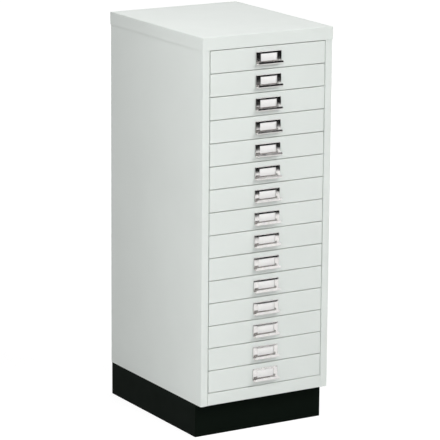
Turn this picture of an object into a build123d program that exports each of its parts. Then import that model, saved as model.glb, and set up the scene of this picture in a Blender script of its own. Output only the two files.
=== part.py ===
from build123d import *
import os

# Steel cabinet with shallow drawers on a plinth, in millimetres.
# X runs to the right, Y from the front to the back and Z up from the floor.
# The origin is on the floor, in the middle of everything, pulls included.

# Cabinet, over its lid and without the pulls
cabinet_width = 349.0
cabinet_depth = 432.0
body_height = 860.0
carcass_sheet = 0.9
bend_radius = 2.0

# Lid, a cap that stands over the body all round
lid_rim = 29.7
lid_overhang = 1.5
lid_corner = 3.0
lid_edge = 1.2

# Front opening
stile_width = 19.0
stile_return = 12.0
bottom_rail = 29.2
rail_return = 12.0
front_gap = 1.6
drawer_count = 15

# Back and floor
rear_return = 16.0
back_flange = 10.0
floor_upstand = 12.0
weld_lap = 2.0

# Plinth, with its setbacks from the lid
plinth_height = 80.0
plinth_setback_front = 28.0
plinth_setback_side = 3.0
plinth_setback_back = 1.5
plinth_sheet = 1.5
plinth_flange = 30.0
plinth_corner = 2.5

# Bolts through the floor and the plinth's top flange
bolt_spread = 260.0
bolt_setback = 18.0
bolt_radius = 3.0
bolt_head_across = 10.0
bolt_head_height = 4.0
bolt_tail = 6.0
bolt_clearance = 0.3
thread_clearance = 0.05

# Runners: a liner on each side, with a strip under every drawer and a stop under every strip
strip_rise = 5.0
strip_depth = 4.0
strip_edge = 0.8
strip_bearing = 4.5
runner_clearance = 0.3
liner_headroom = 3.0
stop_thickness = 1.5
stop_inset = 0.6

# Drawers
drawer_sheet = 0.8
drawer_front_depth = 10.0
drawer_edge = 0.7
tray_inset = 2.0
tray_side_clearance = 9.3
tray_back_clearance = 3.8
tray_hem = 6.0
drawer_travel = 300.0
stop_overlap = 3.5

# Pulls, pressed from sheet: a card frame over a finger scoop
handle_width = 67.0
handle_height = 30.0
handle_below_gap = 12.0
handle_reach = 12.0
handle_sheet = 0.9
frame_proud = 2.6
frame_corner = 1.2
window_width = 44.0
window_height = 17.0
window_below_top = 4.5
lip_height = 7.5
lip_corner = 3.0
lug_spread = 56.0
lug_height = 7.0
lug_foot = 3.5
lug_clearance = 0.25
lug_seat = 0.05

# Cards
card_width = 52.0
card_height = 20.0
card_thickness = 0.4
card_clearance = 0.15

# Places that follow from the sizes
body_half = cabinet_width / 2 - lid_overhang
opening_half = body_half - stile_width
front_half = opening_half - front_gap
tray_half = front_half - tray_inset

lid_back = (cabinet_depth - lid_overhang + handle_reach) / 2
front_face = lid_back - cabinet_depth + lid_overhang
body_back = lid_back - lid_overhang
body_depth = body_back - front_face

cabinet_top = plinth_height + body_height
lid_underside = cabinet_top - carcass_sheet
floor_top = plinth_height + carcass_sheet
rail_top = plinth_height + bottom_rail
opening_top = cabinet_top - lid_rim
pitch = (opening_top - rail_top - front_gap) / drawer_count
front_height = pitch - front_gap

tray_bottom = strip_rise + runner_clearance
strip_above = pitch + strip_rise - strip_depth
tray_side_top = strip_above - tray_side_clearance
tray_back_top = strip_above - tray_back_clearance
liner_front = front_face + stile_return
liner_back = body_back - 3 * carcass_sheet
strip_nose = tray_half - strip_bearing
tray_back = liner_back - front_face - runner_clearance
handle_bottom = pitch - handle_below_gap - handle_height


def slot_bottom(number):
    """Height of the middle of the gap under a drawer, counted from 1 at the top."""
    return rail_top + front_gap / 2 + (drawer_count - number) * pitch


def folded_sheet(skin, sheet, plane, length):
    """Give the line of a sheet's skin its thickness on the left, and run it along the plane's normal."""
    section = make_face(skin.offset_2d(sheet, kind=Kind.INTERSECTION, side=Side.LEFT, closed=True))
    return extrude(plane * section, length)


def block(x_range, y_range, z_range):
    """A plain block between two limits along each axis."""
    size = [high - low for low, high in (x_range, y_range, z_range)]
    middle = [(low + high) / 2 for low, high in (x_range, y_range, z_range)]
    return Pos(*middle) * Box(*size)


def make_top_cover():
    """The lid: a cap with a deep rim, rounded at its corners and eased along its top edge."""
    cap = extrude(RectangleRounded(cabinet_width, cabinet_depth, lid_corner), lid_rim)
    cap = chamfer(cap.faces().sort_by(Axis.Z)[-1].edges(), lid_edge)
    hollow = extrude(
        RectangleRounded(
            cabinet_width - 2 * carcass_sheet,
            cabinet_depth - 2 * carcass_sheet,
            lid_corner - carcass_sheet,
        ),
        lid_rim - carcass_sheet,
    )
    return Pos(0, lid_back - cabinet_depth / 2, opening_top) * (cap - hollow)


def make_side_panel():
    """The right side panel: its front edge is the stile, and its back edge turns in behind."""
    skin = FilletPolyline(
        (opening_half, front_face + stile_return),
        (opening_half, front_face),
        (body_half, front_face),
        (body_half, body_back),
        (body_half - rear_return, body_back),
        radius=bend_radius,
    )
    plane = Plane.XY.offset(plinth_height)
    return folded_sheet(skin, carcass_sheet, plane, lid_underside - plinth_height)


def make_back_panel():
    """The back: a sheet inside the side panels' turned edges, flanged under the lid and on the floor."""
    skin = FilletPolyline(
        (body_back - carcass_sheet - back_flange, floor_top),
        (body_back - carcass_sheet, floor_top),
        (body_back - carcass_sheet, lid_underside),
        (body_back - carcass_sheet - back_flange, lid_underside),
        radius=bend_radius,
    )
    half = body_half - carcass_sheet - bend_radius
    return folded_sheet(skin, carcass_sheet, Plane.YZ.offset(-half), 2 * half)


def bolt_places():
    """Where the four bolts stand, in the plinth's front and back flanges."""
    front = lid_back - cabinet_depth + plinth_setback_front + bolt_setback
    back = lid_back - plinth_setback_back - bolt_setback
    return [Pos(side * bolt_spread / 2, place, 0) for side in (-1, 1) for place in (front, back)]


def make_base_tray():
    """The floor, turned up along both sides, with the rail under the lowest drawer at its front."""
    floor_half = body_half - carcass_sheet
    floor_front = front_face + stile_return
    floor_back = body_back - bend_radius
    floor_skin = FilletPolyline(
        (-floor_half, plinth_height + floor_upstand),
        (-floor_half, plinth_height),
        (floor_half, plinth_height),
        (floor_half, plinth_height + floor_upstand),
        radius=bend_radius,
    )
    floor_plane = Plane.XZ.offset(-floor_back)
    floor = folded_sheet(floor_skin, carcass_sheet, floor_plane, floor_back - floor_front)
    rail_skin = FilletPolyline(
        (front_face + rail_return, rail_top),
        (front_face, rail_top),
        (front_face, plinth_height),
        (floor_front + weld_lap, plinth_height),
        radius=bend_radius,
    )
    rail = folded_sheet(rail_skin, carcass_sheet, Plane.YZ.offset(-opening_half), 2 * opening_half)
    hole = Pos(0, 0, plinth_height) * Cylinder(bolt_radius + bolt_clearance, 4 * carcass_sheet)
    return floor + rail - [place * hole for place in bolt_places()]


def make_runner_liner():
    """The right liner: its front edge is turned out to the side, and its back edge in, to stop the closed drawers."""
    skin = FilletPolyline(
        (strip_nose, liner_back),
        (opening_half, liner_back),
        (opening_half, liner_front),
        (body_half - carcass_sheet, liner_front),
        radius=bend_radius,
    )
    bottom = plinth_height + floor_upstand
    top = lid_underside - liner_headroom
    return folded_sheet(skin, carcass_sheet, Plane.XY.offset(bottom), top - bottom)


def make_runner_strips():
    """The right liner's strips, one under each drawer and one over the top drawer, which keeps it level."""
    length = (liner_front + bend_radius, liner_back - bend_radius)
    strip = block((strip_nose, opening_half), length, (strip_rise - strip_depth, strip_rise))
    strip = chamfer(strip.faces().sort_by(Axis.X)[0].edges().filter_by(Axis.Y), strip_edge)
    return Compound([Pos(0, 0, slot_bottom(number)) * strip for number in range(drawer_count + 1)])


def make_open_stops():
    """The right side's stops, one for each drawer, which catch the back of its tray when it is open."""
    place = front_face + tray_back - drawer_sheet - drawer_travel - runner_clearance
    stop = block(
        (strip_nose + stop_inset, opening_half),
        (place - stop_thickness, place),
        (tray_back_top - stop_overlap, strip_above),
    )
    return Compound([Pos(0, 0, slot_bottom(number)) * stop for number in range(1, drawer_count + 1)])


def make_plinth():
    """The plinth: a frame of folded sheet, flanged inwards at its top and bottom."""
    width = cabinet_width - 2 * plinth_setback_side
    depth = cabinet_depth - plinth_setback_front - plinth_setback_back
    outside = extrude(RectangleRounded(width, depth, plinth_corner), plinth_height)
    channel = Pos(0, 0, plinth_height / 2) * Box(
        width - 2 * plinth_sheet, depth - 2 * plinth_sheet, plinth_height - 2 * plinth_sheet
    )
    opening = Pos(0, 0, plinth_height / 2) * Box(
        width - 2 * plinth_flange, depth - 2 * plinth_flange, 2 * plinth_height
    )
    middle = lid_back - plinth_setback_back - depth / 2
    frame = Pos(0, middle, 0) * (outside - channel - opening)
    hole = Pos(0, 0, plinth_height) * Cylinder(bolt_radius + thread_clearance, 4 * plinth_sheet)
    return frame - [place * hole for place in bolt_places()]


def make_plinth_bolts():
    """Hexagon bolts, with their heads on the cabinet's floor, screwed into the plinth's flange."""
    hexagon = RegularPolygon(bolt_head_across / 2, 6, major_radius=False)
    shank_length = carcass_sheet + plinth_sheet + bolt_tail
    head = Pos(0, 0, floor_top) * extrude(hexagon, bolt_head_height)
    shank = Pos(0, 0, floor_top - shank_length) * extrude(Circle(bolt_radius), shank_length)
    bolt = head + shank
    return Compound([place * bolt for place in bolt_places()])


def window_middle():
    """Height of the middle of the pull's window, in its drawer's own place."""
    return handle_bottom + handle_height - window_below_top - window_height / 2


def lug_outlines(clearance):
    """Outlines on the drawer's front of the pull's two lugs, grown by a clearance."""
    outline = Rectangle(handle_sheet + 2 * clearance, lug_height + 2 * clearance)
    return [Plane.XZ * Pos(side * lug_spread / 2, window_middle()) * outline for side in (-1, 1)]


def make_drawer():
    """A drawer, with its front face at Y 0 and the middle of the gap below it at Z 0."""
    front = block(
        (-front_half, front_half),
        (0, drawer_front_depth),
        (front_gap / 2, front_gap / 2 + front_height),
    )
    front = chamfer(front.faces().sort_by(Axis.Y)[0].edges(), drawer_edge)
    front -= block(
        (drawer_sheet - front_half, front_half - drawer_sheet),
        (drawer_sheet, drawer_front_depth),
        (front_gap / 2 + drawer_sheet, front_gap / 2 + front_height - drawer_sheet),
    )
    slots = [extrude(outline, -drawer_sheet) for outline in lug_outlines(lug_clearance)]

    tray_front = drawer_sheet / 2
    tray_skin = Polyline(
        (-tray_half, tray_side_top),
        (-tray_half, tray_bottom),
        (tray_half, tray_bottom),
        (tray_half, tray_side_top),
    )
    tray = folded_sheet(tray_skin, drawer_sheet, Plane.XZ.offset(-tray_back), tray_back - tray_front)
    back = block(
        (-tray_half, tray_half),
        (tray_back - drawer_sheet, tray_back),
        (tray_bottom, tray_back_top),
    )
    hem = (tray_half - 2 * drawer_sheet, tray_half)
    hem_level = (tray_side_top - tray_hem, tray_side_top)
    right_hem = block(hem, (tray_front, tray_back), hem_level)
    return front + tray + back + right_hem + mirror(right_hem, Plane.YZ) - slots


def make_handle():
    """A pull, in its drawer's own place: card frame above, finger scoop below, lugs behind."""
    half = handle_width / 2
    top = handle_bottom + handle_height
    scoop_radius = (handle_reach - frame_proud - handle_sheet) / 2
    scoop_middle = handle_bottom + handle_sheet + scoop_radius
    lip = frame_proud + 2 * scoop_radius

    plate_line = Line((-frame_proud, scoop_middle + scoop_radius), (-frame_proud, scoop_middle))
    scoop_line = ThreePointArc(
        (-frame_proud, scoop_middle),
        (-frame_proud - scoop_radius, scoop_middle - scoop_radius),
        (-lip, scoop_middle),
    )
    lip_line = Line((-lip, scoop_middle), (-lip, handle_bottom + lip_height))
    skin = Wire([plate_line, scoop_line, lip_line])
    scoop = folded_sheet(skin, handle_sheet, Plane.YZ.offset(-half), handle_width)
    scoop = fillet(scoop.edges().filter_by(Axis.Y).group_by(Axis.Y)[0], lip_corner)

    frame = block((-half, half), (-frame_proud, 0), (scoop_middle, top))
    frame = chamfer(frame.edges().filter_by(Axis.Y).group_by(Axis.Z)[-1], frame_corner)
    inner_half = half - handle_sheet
    inside = block((-inner_half, inner_half), (handle_sheet - frame_proud, 0), (scoop_middle, top - handle_sheet))
    window = Plane.XZ * Pos(0, window_middle()) * Rectangle(window_width, window_height)
    pull = scoop + (frame - inside) - extrude(window, frame_proud)

    root = frame_proud - handle_sheet / 2
    foot_front = drawer_sheet + lug_seat
    foot_back = foot_front + handle_sheet
    lug_outer = lug_spread / 2 + handle_sheet / 2
    lug_level = (window_middle() - lug_height / 2, window_middle() + lug_height / 2)
    for outline in lug_outlines(0):
        pull += extrude(Pos(0, -root, 0) * outline, -root - foot_back)
    for side in (-1, 1):
        foot = sorted((side * (lug_outer - handle_sheet), side * (lug_outer + lug_foot)))
        pull += block(foot, (foot_front, foot_back), lug_level)
    return pull


def make_card():
    """A card, held in its pull's frame."""
    middle = window_middle()
    front = handle_sheet - frame_proud + card_clearance
    return block(
        (-card_width / 2, card_width / 2),
        (front, front + card_thickness),
        (middle - card_height / 2, middle + card_height / 2),
    )


def write(shape, node):
    """Write one named piece."""
    export_step(shape, f"parts/{node}.step")


os.makedirs("parts", exist_ok=True)
side_panel = make_side_panel()
runner_liner = make_runner_liner()
runner_strips = make_runner_strips()
open_stops = make_open_stops()
write(make_top_cover(), "top_cover")
write(side_panel, "side_panel_right")
write(mirror(side_panel, Plane.YZ), "side_panel_left")
write(make_back_panel(), "back_panel")
write(make_base_tray(), "base_tray")
write(runner_liner, "runner_liner_right")
write(mirror(runner_liner, Plane.YZ), "runner_liner_left")
write(runner_strips, "runner_strips_right")
write(mirror(runner_strips, Plane.YZ), "runner_strips_left")
write(open_stops, "open_stops_right")
write(mirror(open_stops, Plane.YZ), "open_stops_left")
write(make_plinth(), "plinth")
write(make_plinth_bolts(), "plinth_bolts")

drawer = make_drawer()
handle = make_handle()
card = make_card()
for number in range(1, drawer_count + 1):
    place = Pos(0, front_face, slot_bottom(number))
    write(place * drawer, f"drawer_{number:02d}")
    write(place * handle, f"handle_{number:02d}")
    write(place * card, f"card_{number:02d}")
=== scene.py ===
"""Dresses a steel cabinet with shallow drawers: its paint, plating, pulls, cards and studio."""

import math
from typing import NamedTuple

import bmesh
import bpy
from mathutils import Matrix, Vector


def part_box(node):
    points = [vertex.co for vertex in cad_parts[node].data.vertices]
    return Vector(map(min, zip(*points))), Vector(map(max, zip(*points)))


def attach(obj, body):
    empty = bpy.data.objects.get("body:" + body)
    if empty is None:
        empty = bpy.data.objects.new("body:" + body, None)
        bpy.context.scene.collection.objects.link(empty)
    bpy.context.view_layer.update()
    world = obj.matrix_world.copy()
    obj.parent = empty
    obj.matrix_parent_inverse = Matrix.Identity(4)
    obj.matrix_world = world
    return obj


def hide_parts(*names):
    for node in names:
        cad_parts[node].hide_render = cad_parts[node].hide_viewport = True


bl_info = {
    "name": "Drawer cabinet",
    "version": (1, 0, 0),
    "blender": (4, 5, 0),
    "location": "View3D > Sidebar > Cabinet",
    "description": "Paint, plating, pulls, cards and studio of a steel cabinet with shallow drawers",
    "category": "Object",
}

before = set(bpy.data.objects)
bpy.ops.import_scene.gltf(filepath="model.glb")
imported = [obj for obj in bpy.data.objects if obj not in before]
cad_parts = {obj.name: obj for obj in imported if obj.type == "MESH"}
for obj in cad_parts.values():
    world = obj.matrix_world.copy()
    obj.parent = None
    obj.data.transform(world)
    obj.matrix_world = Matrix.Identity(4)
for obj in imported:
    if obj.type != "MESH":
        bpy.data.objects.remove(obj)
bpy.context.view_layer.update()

DRAWERS = tuple(sorted(name[-2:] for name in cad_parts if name.startswith("drawer_")))
CARCASS = ("top_cover", "side_panel_left", "side_panel_right", "back_panel", "base_tray")
LINERS = ("runner_liner_left", "runner_liner_right")
STRIPS = ("runner_strips_left", "runner_strips_right")
ZINC_PARTS = ("open_stops_left", "open_stops_right", "plinth_bolts")

# Fixed values of the finishes and the pulls
SAME_PLACE = 1e-6  # m: places nearer to each other than this are one place
NOISE_LOW = 0.3  # a noise rarely goes below this
NOISE_HIGH = 0.7  # or above this
DIMPLE_FLATNESS = 60  # how many times wider than deep the powder coat's dimples are
BEND_STEPS = 8  # edges round each bend of a pull's scoop
LEAST_BEND = math.radians(60)  # a pull's frame is rounded where it turns by more than this
CUT_EDGE_SHARE = 0.28  # radius of a pull's cut edges, as a share of its sheet

# Fixed values of the studio
PAPER_REACH = 30  # m, from the middle of the white paper to its edges
PAPER_GREY = 0.82  # how much light the paper sends back
SHADOW_GREY = 0.3  # how much of the light that falls on the paper is seen there
PAPER_NEAR = (1.0, 0.86)  # m from the middle, and how brightly the paper is seen up to there
PAPER_FAR = (3.0, 1.0)  # the same, where it is fully white
DARK_STRENGTH = 0.01  # how bright the dark wall is
ROOM_LIFT = 0.003  # m, from the paper up to the dark room's floor
ROOM_START = math.radians(-115)  # where the dark room begins, turned from straight in front
ROOM_SPAN = math.radians(210)  # how far it goes round from there
ROOM_STEPS = 42  # flat stretches that the dark room is made of
SENSOR_WIDTH = 36  # mm


# Settings


class FinishSettings(bpy.types.PropertyGroup):
    """Colours and textures of the cabinet's finishes."""

    paint: bpy.props.FloatVectorProperty(
        name="Paint",
        description="Colour of the powder coat on the cabinet and its drawers",
        subtype="COLOR",
        default=(0.755, 0.795, 0.765),
        min=0,
        max=1,
    )
    plinth_paint: bpy.props.FloatVectorProperty(
        name="Plinth paint",
        description="Colour of the powder coat on the plinth",
        subtype="COLOR",
        default=(0.0045, 0.0072, 0.0052),
        min=0,
        max=1,
    )
    plating: bpy.props.FloatVectorProperty(
        name="Plating",
        description="Colour of the nickel plate on the pulls",
        subtype="COLOR",
        default=(0.70, 0.685, 0.675),
        min=0,
        max=1,
    )
    card: bpy.props.FloatVectorProperty(
        name="Card",
        description="Colour of the blank cards",
        subtype="COLOR",
        default=(0.97, 0.962, 0.95),
        min=0,
        max=1,
    )
    orange_peel: bpy.props.FloatProperty(
        name="Orange peel",
        description="Distance from dimple to dimple in the powder coat",
        default=0.0016,
        min=0.0002,
        unit="LENGTH",
        precision=5,
    )
    edge_radius: bpy.props.FloatProperty(
        name="Edge radius",
        description="How far the paint rounds the sheet's cut edges",
        default=0.0003,
        min=0,
        unit="LENGTH",
        precision=5,
    )


class PullSettings(bpy.types.PropertyGroup):
    """Sizes of the pressed pulls."""

    sheet: bpy.props.FloatProperty(
        name="Sheet",
        description="Thickness of the sheet that the pulls are pressed from",
        default=0.0009,
        min=0.0004,
        unit="LENGTH",
        precision=5,
    )
    frame_depth: bpy.props.FloatProperty(
        name="Frame depth",
        description="How far the card frame stands out from the drawer's front",
        default=0.0031,
        unit="LENGTH",
        precision=5,
    )
    frame_corner: bpy.props.FloatProperty(
        name="Frame corner",
        description="Radius of the card frame's two upper corners",
        default=0.0016,
        unit="LENGTH",
        precision=5,
    )
    frame_edge: bpy.props.FloatProperty(
        name="Frame edge",
        description="Radius of the bend round the card frame",
        default=0.0008,
        unit="LENGTH",
        precision=5,
    )
    crown: bpy.props.FloatProperty(
        name="Crown",
        description="How far the bowed frame's top stands back from its middle",
        default=0.0009,
        unit="LENGTH",
        precision=5,
    )
    window_width: bpy.props.FloatProperty(
        name="Window width",
        description="Width of the opening in front of the card",
        default=0.044,
        unit="LENGTH",
        precision=5,
    )
    window_height: bpy.props.FloatProperty(
        name="Window height",
        description="Height of the opening in front of the card",
        default=0.017,
        unit="LENGTH",
        precision=5,
    )
    window_drop: bpy.props.FloatProperty(
        name="Window drop",
        description="Distance from the top of the pull down to its window",
        default=0.005,
        unit="LENGTH",
        precision=5,
    )
    window_corner: bpy.props.FloatProperty(
        name="Window corner",
        description="Radius of the window's corners",
        default=0.0008,
        unit="LENGTH",
        precision=5,
    )
    scoop_corner: bpy.props.FloatProperty(
        name="Scoop corner",
        description="Radius of the two bends along the bottom of the scoop",
        default=0.0024,
        unit="LENGTH",
        precision=5,
    )
    lip_height: bpy.props.FloatProperty(
        name="Lip height",
        description="Height of the scoop's front lip over the bottom of the pull",
        default=0.0075,
        unit="LENGTH",
        precision=5,
    )
    lip_corner: bpy.props.FloatProperty(
        name="Lip corner",
        description="Radius of the lip's corners",
        default=0.003,
        unit="LENGTH",
        precision=5,
    )
    lug_spread: bpy.props.FloatProperty(
        name="Lug spread",
        description="Distance between the two lugs that hold the pull in its drawer",
        default=0.056,
        unit="LENGTH",
        precision=5,
    )
    lug_height: bpy.props.FloatProperty(
        name="Lug height",
        description="Height of a lug",
        default=0.007,
        unit="LENGTH",
        precision=5,
    )
    lug_foot: bpy.props.FloatProperty(
        name="Lug foot",
        description="Length of a lug's bent end, behind the drawer's front",
        default=0.0035,
        unit="LENGTH",
        precision=5,
    )


class StudioSettings(bpy.types.PropertyGroup):
    """Camera and light of the studio."""

    turn: bpy.props.FloatProperty(
        name="Turn",
        description="How far the camera stands round to the cabinet's left",
        default=math.radians(30.96),
        subtype="ANGLE",
    )
    rise: bpy.props.FloatProperty(
        name="Rise",
        description="How far down the camera looks",
        default=math.radians(13.37),
        subtype="ANGLE",
    )
    tilt: bpy.props.FloatProperty(
        name="Tilt",
        description="How far the camera leans to the right",
        default=math.radians(0.44),
        subtype="ANGLE",
    )
    distance: bpy.props.FloatProperty(
        name="Distance",
        description="Distance from the camera to the point that it looks at",
        default=6.4287,
        min=1,
        unit="LENGTH",
    )
    aim: bpy.props.FloatVectorProperty(
        name="Aim",
        description="Point that the camera looks at",
        default=(0.0015, 0.0014, 0.4595),
        subtype="TRANSLATION",
        unit="LENGTH",
        precision=4,
    )
    lens: bpy.props.FloatProperty(
        name="Lens",
        description="Focal length on a sensor 36 mm wide",
        default=222.25,
        min=10,
        unit="CAMERA",
    )
    ambient: bpy.props.FloatProperty(
        name="Ambient light",
        description="Brightness of the light that comes from all round",
        default=0.202,
        min=0,
    )
    key: bpy.props.FloatProperty(
        name="Key light",
        description="Power of the soft light at the front right",
        default=80,
        min=0,
        unit="POWER",
    )
    key_face: bpy.props.FloatProperty(
        name="Key face",
        description="How bright the face of the key light looks where gloss and plate reflect it",
        default=3,
        min=0,
    )
    left: bpy.props.FloatProperty(
        name="Left light",
        description="Power of the tall soft light at the front left",
        default=5.2,
        min=0,
        unit="POWER",
    )
    side: bpy.props.FloatProperty(
        name="Side light",
        description="Power of the tall narrow light close to the cabinet's left",
        default=1.4,
        min=0,
        unit="POWER",
    )
    top: bpy.props.FloatProperty(
        name="Top light",
        description="Power of the soft light over the cabinet",
        default=6.5,
        min=0,
        unit="POWER",
    )
    high: bpy.props.FloatProperty(
        name="High light",
        description="Power of the soft light high up at the front left",
        default=6,
        min=0,
        unit="POWER",
    )
    steep: bpy.props.FloatProperty(
        name="Steep light",
        description="Power of the narrow light over the cabinet's left, which shades the lid's lower edge",
        default=4.2,
        min=0,
        unit="POWER",
    )
    paper_end: bpy.props.FloatProperty(
        name="Paper end",
        description="How far the white paper reaches before it falls into the dark, as the plate reflects it",
        default=2.8,
        min=0.5,
        unit="LENGTH",
    )
    dark_start: bpy.props.FloatProperty(
        name="Dark start",
        description="How far away the studio's floor is fully dark",
        default=3.4,
        min=1,
        unit="LENGTH",
    )
    room_distance: bpy.props.FloatProperty(
        name="Room distance",
        description="How far away the studio's dark wall is",
        default=5,
        min=1,
        unit="LENGTH",
    )
    room_height: bpy.props.FloatProperty(
        name="Room height",
        description="Height of the studio's dark wall",
        default=6,
        min=0,
        unit="LENGTH",
    )


# Materials


class NodeBench:
    """Builds one material's node tree, from left to right."""

    def __init__(self, name):
        self.material = bpy.data.materials.new(name)
        self.material.use_nodes = True
        self.tree = self.material.node_tree
        self.shader = self.tree.nodes["Principled BSDF"]
        self.place = self.tree.nodes.new("ShaderNodeTexCoord").outputs["Object"]

    def noise(self, spacing, detail, scale=(1, 1, 1)):
        """A noise with bumps about `spacing` metres apart, drawn out along the axes whose scale is small."""
        node = self.tree.nodes.new("ShaderNodeTexNoise")
        node.inputs["Scale"].default_value = 1
        node.inputs["Detail"].default_value = detail
        mapping = self.tree.nodes.new("ShaderNodeMapping")
        mapping.inputs["Scale"].default_value = [part / spacing for part in scale]
        self.tree.links.new(self.place, mapping.inputs["Vector"])
        self.tree.links.new(mapping.outputs["Vector"], node.inputs["Vector"])
        return node.outputs["Fac"]

    def spread(self, value, low, high):
        """Maps a noise onto a range of values."""
        node = self.tree.nodes.new("ShaderNodeMapRange")
        node.inputs["From Min"].default_value = NOISE_LOW
        node.inputs["From Max"].default_value = NOISE_HIGH
        node.inputs["To Min"].default_value = low
        node.inputs["To Max"].default_value = high
        self.tree.links.new(value, node.inputs["Value"])
        return node.outputs["Result"]

    def blend(self, value, dark, light):
        """Maps a noise onto two colours."""
        node = self.tree.nodes.new("ShaderNodeValToRGB")
        node.color_ramp.elements[0].position = NOISE_LOW
        node.color_ramp.elements[0].color = (*dark, 1)
        node.color_ramp.elements[1].position = NOISE_HIGH
        node.color_ramp.elements[1].color = (*light, 1)
        self.tree.links.new(value, node.inputs["Fac"])
        return node.outputs["Color"]

    def bump(self, height, depth, below=None):
        """Raises the surface by up to `depth` metres, on top of an earlier bump."""
        node = self.tree.nodes.new("ShaderNodeBump")
        node.inputs["Distance"].default_value = depth
        self.tree.links.new(height, node.inputs["Height"])
        if below is not None:
            self.tree.links.new(below, node.inputs["Normal"])
        return node.outputs["Normal"]

    def feed(self, socket, value):
        """Links a texture to one of the shader's sockets."""
        self.tree.links.new(value, self.shader.inputs[socket])

    def set(self, socket, value):
        """Sets a plain value on one of the shader's sockets."""
        self.shader.inputs[socket].default_value = value


def shade(colour, factor):
    """A colour made darker or lighter."""
    return [min(1.0, part * factor) for part in colour]


def powder_coat(name, colour, orange_peel, roughness, gloss=0.5):
    """Baked powder coat: dimpled like orange peel, on sheet that is never quite flat."""
    bench = NodeBench(name)
    bench.set("Specular IOR Level", gloss)
    clouds = bench.noise(spacing=0.12, detail=4)
    bench.feed("Base Color", bench.blend(clouds, dark=shade(colour, 0.985), light=shade(colour, 1.012)))
    patches = bench.noise(spacing=0.03, detail=3)
    bench.feed("Roughness", bench.spread(patches, low=roughness - 0.04, high=roughness + 0.05))
    sheet = bench.bump(bench.noise(spacing=0.22, detail=1), depth=0.0009)
    dimples = bench.noise(spacing=orange_peel, detail=2)
    bench.feed("Normal", bench.bump(dimples, depth=orange_peel / DIMPLE_FLATNESS, below=sheet))
    return bench.material


def nickel_plate(name, colour):
    """Bright nickel on pressed steel, faintly drawn along the pull and dulled where it is handled."""
    bench = NodeBench(name)
    bench.set("Metallic", 1.0)
    tarnish = bench.noise(spacing=0.009, detail=3)
    bench.feed("Base Color", bench.blend(tarnish, dark=shade(colour, 0.94), light=shade(colour, 1.05)))
    handling = bench.noise(spacing=0.006, detail=4)
    bench.feed("Roughness", bench.spread(handling, low=0.1, high=0.2))
    pressed = bench.bump(bench.noise(spacing=0.014, detail=1), depth=0.00012)
    drawn = bench.noise(spacing=0.0006, detail=2, scale=(0.06, 1, 1))
    bench.feed("Normal", bench.bump(drawn, depth=0.000004, below=pressed))
    return bench.material


def zinc_plate(name):
    """Zinc plate with its faint crystal patches."""
    bench = NodeBench(name)
    bench.set("Metallic", 1.0)
    crystals = bench.noise(spacing=0.002, detail=1)
    bench.feed("Base Color", bench.blend(crystals, dark=(0.5, 0.51, 0.52), light=(0.68, 0.69, 0.7)))
    patches = bench.noise(spacing=0.003, detail=3)
    bench.feed("Roughness", bench.spread(patches, low=0.28, high=0.45))
    grain = bench.noise(spacing=0.0008, detail=2)
    bench.feed("Normal", bench.bump(grain, depth=0.000008))
    return bench.material


def nylon(name):
    """Natural nylon, drawn along the strip, with a waxy gloss."""
    bench = NodeBench(name)
    clouds = bench.noise(spacing=0.01, detail=2)
    bench.feed("Base Color", bench.blend(clouds, dark=(0.74, 0.72, 0.65), light=(0.8, 0.785, 0.72)))
    patches = bench.noise(spacing=0.004, detail=2)
    bench.feed("Roughness", bench.spread(patches, low=0.34, high=0.46))
    drawn = bench.noise(spacing=0.0008, detail=2, scale=(1, 0.03, 1))
    bench.feed("Normal", bench.bump(drawn, depth=0.000015))
    return bench.material


def card_stock(name, colour):
    """Thin uncoated card, with short fibres."""
    bench = NodeBench(name)
    pulp = bench.noise(spacing=0.0015, detail=5)
    bench.feed("Base Color", bench.blend(pulp, dark=shade(colour, 0.97), light=shade(colour, 1.02)))
    patches = bench.noise(spacing=0.002, detail=2)
    bench.feed("Roughness", bench.spread(patches, low=0.72, high=0.85))
    fibres = bench.noise(spacing=0.0004, detail=4)
    bench.feed("Normal", bench.bump(fibres, depth=0.00001))
    return bench.material


def round_edges(piece, radius, least_angle):
    """Rounds every edge of a piece that turns by more than an angle in degrees, and evens its shading."""
    bevel = piece.modifiers.new("Edges", "BEVEL")
    bevel.width = radius
    bevel.segments = 2
    bevel.limit_method = "ANGLE"
    bevel.angle_limit = math.radians(least_angle)
    normals = piece.modifiers.new("Normals", "WEIGHTED_NORMAL")
    normals.keep_sharp = True


def finish_node(name, material, edge_radius):
    """Gives a CAD node its material, and rounds its cut edges."""
    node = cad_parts[name]
    node.data.materials.clear()
    node.data.materials.append(material)
    if not edge_radius:
        return
    weld = node.modifiers.new("Weld", "WELD")
    weld.merge_threshold = SAME_PLACE
    round_edges(node, edge_radius, least_angle=35)


# Meshes


def new_mesh_object(name, bm, material):
    """Links a finished bmesh to the scene as an object of one material."""
    mesh = bpy.data.meshes.new(name)
    bm.to_mesh(mesh)
    bm.free()
    mesh.materials.append(material)
    piece = bpy.data.objects.new(name, mesh)
    bpy.context.scene.collection.objects.link(piece)
    return piece


def extrude_chain(bm, start, points):
    """Draws a line of edges from a vertex through more points, and returns its last vertex."""
    last = start
    for point in points:
        made = bmesh.ops.extrude_vert_indiv(bm, verts=[last])
        last = made["verts"][0]
        last.co = point
    return last


def quarter_turn(bm, vert, centre):
    """Draws a quarter circle of edges from a vertex about a line along X, and returns its last vertex."""
    made = bmesh.ops.spin(
        bm,
        geom=[vert],
        cent=centre,
        axis=(1, 0, 0),
        angle=-math.pi / 2,
        steps=BEND_STEPS,
        use_merge=False,
        use_duplicate=False,
    )
    return [part for part in made["geom_last"] if isinstance(part, bmesh.types.BMVert)][0]


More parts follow.
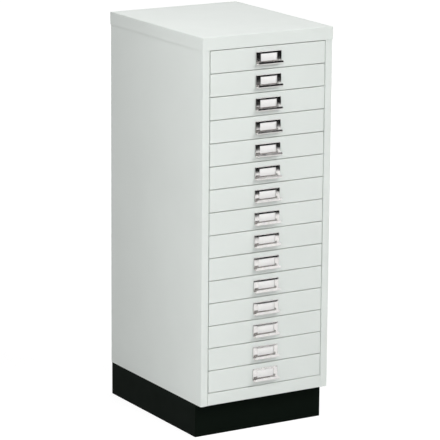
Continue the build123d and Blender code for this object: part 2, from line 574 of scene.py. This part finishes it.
def sweep(bm, edges, offset):
    """Extrudes edges by an offset, and returns the new edges at its far end."""
    made = bmesh.ops.extrude_edge_only(bm, edges=edges)["geom"]
    verts = [part for part in made if isinstance(part, bmesh.types.BMVert)]
    bmesh.ops.translate(bm, verts=verts, vec=offset)
    return [part for part in made if isinstance(part, bmesh.types.BMEdge) and set(part.verts) <= set(verts)]


def round_off(bm, geom, radius, segments, affect):
    """Bevels vertices or edges to a round of some radius."""
    bmesh.ops.bevel(
        bm, geom=geom, offset=radius, segments=segments, profile=0.5, affect=affect, material=-1
    )


def lies_at(edge, **levels):
    """Whether both ends of an edge lie at the levels given for x, y or z."""
    return all(
        abs(getattr(vert.co, axis) - level) < SAME_PLACE
        for vert in edge.verts
        for axis, level in levels.items()
    )


# Pulls


class PullPlan:
    """Where the middle of a pull's sheet runs, from its settings and its CAD node's box."""

    def __init__(self, pull, low, high, face):
        self.pull = pull
        self.half = high.x - pull.sheet / 2
        # Depths: the lip in front, the frame, the drawer's front and the lugs' feet behind it
        self.lip = low.y + pull.sheet / 2
        self.plate = face - pull.frame_depth + pull.sheet / 2
        self.face = face
        self.foot = high.y - pull.sheet / 2
        # Levels, from the frame's top down to the scoop's floor
        self.top = high.z - pull.sheet / 2
        self.window_top = high.z - pull.window_drop
        self.window_bottom = self.window_top - pull.window_height
        self.crest = (self.window_top + self.window_bottom) / 2
        self.lip_top = low.z + pull.lip_height
        self.floor = low.z + pull.sheet / 2
        self.scoop = self.floor + pull.scoop_corner

    def bowed(self, level):
        """A point on the frame's left edge, which is bowed from top to bottom."""
        height = (level - self.crest) / (self.top - self.crest)
        return (-self.half, self.plate + self.pull.crown * height**2, level)


def draw_sheet(bm, plan):
    """Draws the sheet's left edge, from the frame's top round the scoop to its lip, and sweeps it across."""
    pull = plan.pull
    levels = (plan.window_top, plan.crest, plan.window_bottom, plan.scoop)
    first = bm.verts.new(plan.bowed(plan.top))
    root = extrude_chain(bm, first, [plan.bowed(level) for level in levels])
    heel = quarter_turn(bm, root, (-plan.half, root.co.y - pull.scoop_corner, plan.scoop))
    toe = extrude_chain(bm, heel, [(-plan.half, plan.lip + pull.scoop_corner, plan.floor)])
    rise = quarter_turn(bm, toe, (-plan.half, plan.lip + pull.scoop_corner, plan.scoop))
    extrude_chain(bm, rise, [(-plan.half, plan.lip, plan.lip_top)])

    stile = plan.half - pull.window_width / 2
    line = list(bm.edges)
    for width in (stile, pull.window_width, stile):
        line = sweep(bm, line, (width, 0, 0))


def cut_window(bm, plan):
    """Cuts the window in front of the card, and rounds its corners."""
    window = []
    for part in bm.faces:
        middle = part.calc_center_median()
        if abs(middle.x) < SAME_PLACE and plan.window_bottom < middle.z < plan.window_top:
            window.append(part)
    corners = [vert for part in window for vert in part.verts if abs(vert.co.z - plan.crest) > SAME_PLACE]
    bmesh.ops.delete(bm, geom=window, context="FACES_ONLY")
    round_off(bm, corners, plan.pull.window_corner, segments=3, affect="VERTICES")


def fold_rim(bm, plan):
    """Folds the frame's top and sides back to the drawer's front, and rounds its corners and bends."""
    pull = plan.pull
    places = ({"x": -plan.half}, {"x": plan.half}, {"z": plan.top})
    rim = [
        edge
        for edge in bm.edges
        if edge.is_boundary
        and min(vert.co.z for vert in edge.verts) > plan.scoop - SAME_PLACE
        and max(vert.co.y for vert in edge.verts) > plan.plate - SAME_PLACE
        and any(lies_at(edge, **place) for place in places)
    ]
    for edge in sweep(bm, rim, (0, pull.frame_depth, 0)):
        for vert in edge.verts:
            vert.co.y = plan.face
    corners = [
        edge
        for edge in bm.edges
        if not edge.is_boundary
        and (lies_at(edge, x=-plan.half, z=plan.top) or lies_at(edge, x=plan.half, z=plan.top))
    ]
    round_off(bm, corners, pull.frame_corner, segments=5, affect="EDGES")
    bends = [
        edge
        for edge in bm.edges
        if len(edge.link_faces) == 2
        and min(vert.co.z for vert in edge.verts) > plan.scoop - SAME_PLACE
        and max(vert.co.y for vert in edge.verts) < plan.plate + pull.crown + SAME_PLACE
        and edge.calc_face_angle(0) > LEAST_BEND
    ]
    round_off(bm, bends, pull.frame_edge, segments=4, affect="EDGES")


def round_lip(bm, plan):
    """Rounds the two corners of the scoop's lip."""
    tips = [
        vert
        for vert in bm.verts
        if abs(vert.co.z - plan.lip_top) < SAME_PLACE
        and abs(vert.co.y - plan.lip) < SAME_PLACE
        and abs(abs(vert.co.x) - plan.half) < SAME_PLACE
    ]
    round_off(bm, tips, plan.pull.lip_corner, segments=6, affect="VERTICES")


def add_lugs(bm, plan):
    """The two lugs that go through the drawer's front and are bent over behind it."""
    pull = plan.pull
    bottom = plan.crest - pull.lug_height / 2
    for side in (-1, 1):
        place = side * pull.lug_spread / 2
        tip = place + side * (pull.sheet / 2 + pull.lug_foot)
        known = set(bm.edges)
        first = bm.verts.new((place, plan.plate, bottom))
        extrude_chain(bm, first, [(place, plan.foot, bottom), (tip, plan.foot, bottom)])
        sweep(bm, [edge for edge in bm.edges if edge not in known], (0, 0, pull.lug_height))


def make_pull(number, pull, material):
    """One pull, in place of its CAD node."""
    node = f"handle_{number}"
    low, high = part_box(node)
    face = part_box(f"drawer_{number}")[0].y
    plan = PullPlan(pull, low, high, face)
    bm = bmesh.new()
    for step in (draw_sheet, cut_window, fold_rim, round_lip, add_lugs):
        step(bm, plan)
    bmesh.ops.recalc_face_normals(bm, faces=bm.faces)
    for part in bm.faces:
        part.smooth = True
    piece = new_mesh_object(f"pull_{number}", bm, material)

    shell = piece.modifiers.new("Sheet", "SOLIDIFY")
    shell.thickness = pull.sheet
    shell.offset = 0
    shell.use_even_offset = True
    round_edges(piece, pull.sheet * CUT_EDGE_SHARE, least_angle=50)

    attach(piece, f"drawer_unit_{number}")
    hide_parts(node)


# Studio


class Lamp(NamedTuple):
    """A soft box: its width and height, where it stands and the point that it faces, in metres."""

    size: tuple
    place: tuple
    target: tuple
    mirrored: bool = False

    def facing(self):
        """The turn that points the box at its target."""
        return (Vector(self.target) - Vector(self.place)).to_track_quat("-Z", "Y")


LAMPS = {
    "key": Lamp((1.6, 1.6), (1.9, -2.6, 2.7), (0, 0, 0.6)),
    "left": Lamp((0.6, 1.6), (-0.95, -1.1, 0.7), (0, -0.2, 0.5)),
    "side": Lamp((0.2, 2.2), (-0.72, -0.26, 0.3), (0, -0.26, 0.3)),
    "top": Lamp((1.2, 1.2), (0.2, 0.8, 2.7), (0, 0.2, 0.9), mirrored=True),
    "high": Lamp((0.7, 0.7), (-1.2, -1.3, 2.2), (0, 0, 0.5)),
    "steep": Lamp((0.3, 0.8), (-0.75, -0.1, 1.9), (-0.1, -0.1, 0.4)),
}


def bare_material(name):
    """A material whose node tree holds only its output, with that tree and output."""
    material = bpy.data.materials.new(name)
    material.use_nodes = True
    tree = material.node_tree
    tree.nodes.clear()
    output = tree.nodes.new("ShaderNodeOutputMaterial")
    return material, tree, output


def seen_ray(tree):
    """1 on rays from the camera, and on those that metal and glass send on."""
    path = tree.nodes.new("ShaderNodeLightPath")
    total = path.outputs["Is Camera Ray"]
    for name in ("Is Glossy Ray", "Is Transmission Ray"):
        add = tree.nodes.new("ShaderNodeMath")
        add.operation = "MAXIMUM"
        tree.links.new(total, add.inputs[0])
        tree.links.new(path.outputs[name], add.inputs[1])
        total = add.outputs["Value"]
    return total


def glow_by_distance(tree, near, far, change="LINEAR"):
    """A glow that goes from one (distance in metres, strength) to another, out from the floor's middle."""
    place = tree.nodes.new("ShaderNodeTexCoord")
    reach = tree.nodes.new("ShaderNodeVectorMath")
    reach.operation = "LENGTH"
    strength = tree.nodes.new("ShaderNodeMapRange")
    strength.interpolation_type = change
    strength.inputs["From Min"].default_value = near[0]
    strength.inputs["To Min"].default_value = near[1]
    strength.inputs["From Max"].default_value = far[0]
    strength.inputs["To Max"].default_value = far[1]
    glow = tree.nodes.new("ShaderNodeEmission")
    tree.links.new(place.outputs["Object"], reach.inputs[0])
    tree.links.new(reach.outputs["Value"], strength.inputs["Value"])
    tree.links.new(strength.outputs["Result"], glow.inputs["Strength"])
    return glow.outputs["Emission"]


def floor_paper():
    """White paper that is seen as white, and still shows the cabinet's shadow."""
    material, tree, output = bare_material("floor_paper")
    lit = tree.nodes.new("ShaderNodeBsdfDiffuse")
    lit.inputs["Color"].default_value = (PAPER_GREY, PAPER_GREY, PAPER_GREY, 1)
    soft = tree.nodes.new("ShaderNodeBsdfDiffuse")
    soft.inputs["Color"].default_value = (SHADOW_GREY, SHADOW_GREY, SHADOW_GREY, 1)
    seen = tree.nodes.new("ShaderNodeAddShader")
    choice = tree.nodes.new("ShaderNodeMixShader")
    tree.links.new(soft.outputs["BSDF"], seen.inputs[0])
    tree.links.new(glow_by_distance(tree, PAPER_NEAR, PAPER_FAR), seen.inputs[1])
    tree.links.new(seen_ray(tree), choice.inputs["Fac"])
    tree.links.new(lit.outputs["BSDF"], choice.inputs[1])
    tree.links.new(seen.outputs["Shader"], choice.inputs[2])
    tree.links.new(choice.outputs["Shader"], output.inputs["Surface"])
    return material


def add_floor():
    """The sheet of white paper that the cabinet stands on."""
    bm = bmesh.new()
    bmesh.ops.create_grid(bm, x_segments=1, y_segments=1, size=PAPER_REACH)
    floor = new_mesh_object("floor", bm, floor_paper())


def make_world(ambient):
    """Even light from all round, seen as white."""
    world = bpy.data.worlds.new("studio")
    bpy.context.scene.world = world
    world.use_nodes = True
    tree = world.node_tree
    background = tree.nodes["Background"]
    strength = tree.nodes.new("ShaderNodeMapRange")
    strength.inputs["To Min"].default_value = ambient
    strength.inputs["To Max"].default_value = 1.0
    background.inputs["Color"].default_value = (1, 1, 1, 1)
    tree.links.new(seen_ray(tree), strength.inputs["Value"])
    tree.links.new(strength.outputs["Result"], background.inputs["Strength"])


def add_soft_light(name, lamp, power):
    """Lights a soft box, which gloss and plate reflect only where it says so."""
    light = bpy.data.lights.new(name, "AREA")
    light.energy = power
    light.shape = "RECTANGLE"
    light.size = lamp.size[0]
    light.size_y = lamp.size[1]
    box = bpy.data.objects.new(name, light)
    bpy.context.scene.collection.objects.link(box)
    box.location = lamp.place
    box.rotation_mode = "QUATERNION"
    box.rotation_quaternion = lamp.facing()
    box.visible_camera = False
    box.visible_glossy = lamp.mirrored


def show_in_mirrors_only(piece):
    """Hides a piece of the stage from all rays but those that gloss and plate send out."""
    piece.visible_camera = False
    piece.visible_diffuse = False
    piece.visible_transmission = False
    piece.visible_shadow = False


def add_mirrored_face(name, lamp, brightness):
    """The lit face of a square soft box, which gloss and plate reflect in place of the box itself."""
    bm = bmesh.new()
    bmesh.ops.create_grid(bm, x_segments=1, y_segments=1, size=lamp.size[0] / 2)
    stand = Matrix.Translation(lamp.place) @ lamp.facing().to_matrix().to_4x4()
    bmesh.ops.transform(bm, matrix=stand, verts=bm.verts)
    material, tree, output = bare_material(name)
    glow = tree.nodes.new("ShaderNodeEmission")
    glow.inputs["Strength"].default_value = brightness
    tree.links.new(glow.outputs["Emission"], output.inputs["Surface"])
    face = new_mesh_object(name, bm, material)
    show_in_mirrors_only(face)


def dark_room_paint(studio):
    """Floor that falls from the paper's white into the dark, and a dark wall behind it."""
    material, tree, output = bare_material("dark_room")
    near = (studio.paper_end, 1.0)
    far = (studio.dark_start, DARK_STRENGTH)
    tree.links.new(glow_by_distance(tree, near, far, change="SMOOTHSTEP"), output.inputs["Surface"])
    return material


def add_dark_room(studio):
    """The dark end of the studio, which only shows where gloss and plate reflect it."""
    bm = bmesh.new()
    near = bm.verts.new((0, -studio.paper_end, ROOM_LIFT))
    far = Vector((0, -studio.room_distance, ROOM_LIFT))
    extrude_chain(bm, near, [far, far + Vector((0, 0, studio.room_height))])
    bmesh.ops.rotate(bm, verts=bm.verts, cent=(0, 0, 0), matrix=Matrix.Rotation(ROOM_START, 3, "Z"))
    bmesh.ops.spin(
        bm,
        geom=bm.verts[:] + bm.edges[:],
        cent=(0, 0, 0),
        axis=(0, 0, 1),
        angle=ROOM_SPAN,
        steps=ROOM_STEPS,
        use_merge=False,
        use_duplicate=False,
    )
    room = new_mesh_object("dark_room", bm, dark_room_paint(studio))
    show_in_mirrors_only(room)


def add_camera(studio):
    """The camera, at the photograph's angle."""
    turn, rise = -studio.turn, studio.rise
    back = Vector((math.sin(turn) * math.cos(rise), -math.cos(turn) * math.cos(rise), math.sin(rise)))
    data = bpy.data.cameras.new("camera")
    data.sensor_width = SENSOR_WIDTH
    data.lens = studio.lens
    camera = bpy.data.objects.new("camera", data)
    bpy.context.scene.collection.objects.link(camera)
    camera.rotation_mode = "QUATERNION"
    level = (-back).to_track_quat("-Z", "Y")
    camera.rotation_quaternion = level @ Matrix.Rotation(studio.tilt, 3, "Z").to_quaternion()
    camera.location = Vector(studio.aim) + studio.distance * back
    bpy.context.scene.camera = camera


# Operators


class CABINET_OT_paint_carcass(bpy.types.Operator):
    """Powder coats the lid, the sides, the back, the floor and the runner liners"""

    bl_idname = "cabinet.paint_carcass"
    bl_label = "Paint carcass"

    def execute(self, context):
        finish = context.scene.cabinet_finish
        paint = powder_coat("cabinet_paint", finish.paint, finish.orange_peel, roughness=0.4)
        for name in CARCASS + LINERS:
            finish_node(name, paint, finish.edge_radius)
        return {"FINISHED"}


class CABINET_OT_paint_drawers(bpy.types.Operator):
    """Powder coats the drawers"""

    bl_idname = "cabinet.paint_drawers"
    bl_label = "Paint drawers"

    def execute(self, context):
        finish = context.scene.cabinet_finish
        paint = powder_coat("drawer_paint", finish.paint, finish.orange_peel, roughness=0.38)
        for number in DRAWERS:
            finish_node(f"drawer_{number}", paint, finish.edge_radius)
        return {"FINISHED"}


class CABINET_OT_paint_plinth(bpy.types.Operator):
    """Powder coats the plinth"""

    bl_idname = "cabinet.paint_plinth"
    bl_label = "Paint plinth"

    def execute(self, context):
        finish = context.scene.cabinet_finish
        paint = powder_coat(
            "plinth_paint", finish.plinth_paint, finish.orange_peel, roughness=0.5, gloss=0.01
        )
        finish_node("plinth", paint, finish.edge_radius)
        return {"FINISHED"}


class CABINET_OT_finish_fittings(bpy.types.Operator):
    """Plates the stops and bolts with zinc, and makes the runner strips nylon"""

    bl_idname = "cabinet.finish_fittings"
    bl_label = "Finish fittings"

    def execute(self, context):
        zinc = zinc_plate("zinc_plate")
        for name in ZINC_PARTS:
            finish_node(name, zinc, edge_radius=0.0001)
        plain = nylon("runner_nylon")
        for name in STRIPS:
            finish_node(name, plain, edge_radius=0.0002)
        return {"FINISHED"}


class CABINET_OT_finish_cards(bpy.types.Operator):
    """Gives every pull's card its blank stock"""

    bl_idname = "cabinet.finish_cards"
    bl_label = "Finish cards"

    def execute(self, context):
        stock = card_stock("card_stock", context.scene.cabinet_finish.card)
        for number in DRAWERS:
            finish_node(f"card_{number}", stock, edge_radius=0)
        return {"FINISHED"}


class CABINET_OT_make_pulls(bpy.types.Operator):
    """Presses a pull for every drawer, in place of its CAD node"""

    bl_idname = "cabinet.make_pulls"
    bl_label = "Make pulls"

    def execute(self, context):
        plate = nickel_plate("nickel_plate", context.scene.cabinet_finish.plating)
        for number in DRAWERS:
            make_pull(number, context.scene.cabinet_pull, plate)
        return {"FINISHED"}


class CABINET_OT_set_studio(bpy.types.Operator):
    """Sets the floor, the lights and the camera"""

    bl_idname = "cabinet.set_studio"
    bl_label = "Set studio"

    def execute(self, context):
        studio = context.scene.cabinet_studio
        add_floor()
        make_world(studio.ambient)
        for name, lamp in LAMPS.items():
            add_soft_light(f"{name}_light", lamp, getattr(studio, name))
        add_mirrored_face("key_face", LAMPS["key"], studio.key_face)
        add_dark_room(studio)
        add_camera(studio)
        context.scene.view_settings.view_transform = "Standard"
        return {"FINISHED"}


class CABINET_PT_panel(bpy.types.Panel):
    """Lists the cabinet's settings and steps in the sidebar"""

    bl_idname = "CABINET_PT_panel"
    bl_label = "Drawer cabinet"
    bl_space_type = "VIEW_3D"
    bl_region_type = "UI"
    bl_category = "Cabinet"

    def draw(self, context):
        for group, steps in GROUPS:
            settings = getattr(context.scene, group)
            box = self.layout.box()
            for name in settings.bl_rna.properties.keys():
                if name not in ("rna_type", "name"):
                    box.prop(settings, name)
            for step in steps:
                box.operator(step.bl_idname)


SETTINGS = {
    "cabinet_finish": FinishSettings,
    "cabinet_pull": PullSettings,
    "cabinet_studio": StudioSettings,
}
GROUPS = (
    (
        "cabinet_finish",
        (
            CABINET_OT_paint_carcass,
            CABINET_OT_paint_drawers,
            CABINET_OT_paint_plinth,
            CABINET_OT_finish_fittings,
            CABINET_OT_finish_cards,
        ),
    ),
    ("cabinet_pull", (CABINET_OT_make_pulls,)),
    ("cabinet_studio", (CABINET_OT_set_studio,)),
)
OPERATORS = tuple(step for _, steps in GROUPS for step in steps)


def register():
    """Registers the settings, the operators and the panel."""
    for name, settings in SETTINGS.items():
        bpy.utils.register_class(settings)
        setattr(bpy.types.Scene, name, bpy.props.PointerProperty(type=settings))
    for step in OPERATORS:
        bpy.utils.register_class(step)
    bpy.utils.register_class(CABINET_PT_panel)


def unregister():
    """Takes the panel, the operators and the settings out again."""
    bpy.utils.unregister_class(CABINET_PT_panel)
    for step in reversed(OPERATORS):
        bpy.utils.unregister_class(step)
    for name, settings in reversed(SETTINGS.items()):
        delattr(bpy.types.Scene, name)
        bpy.utils.unregister_class(settings)


def main():
    """Runs every step in order."""
    register()
    for step in OPERATORS:
        group, name = step.bl_idname.split(".")
        getattr(getattr(bpy.ops, group), name)()


if __name__ == "__main__":
    main()
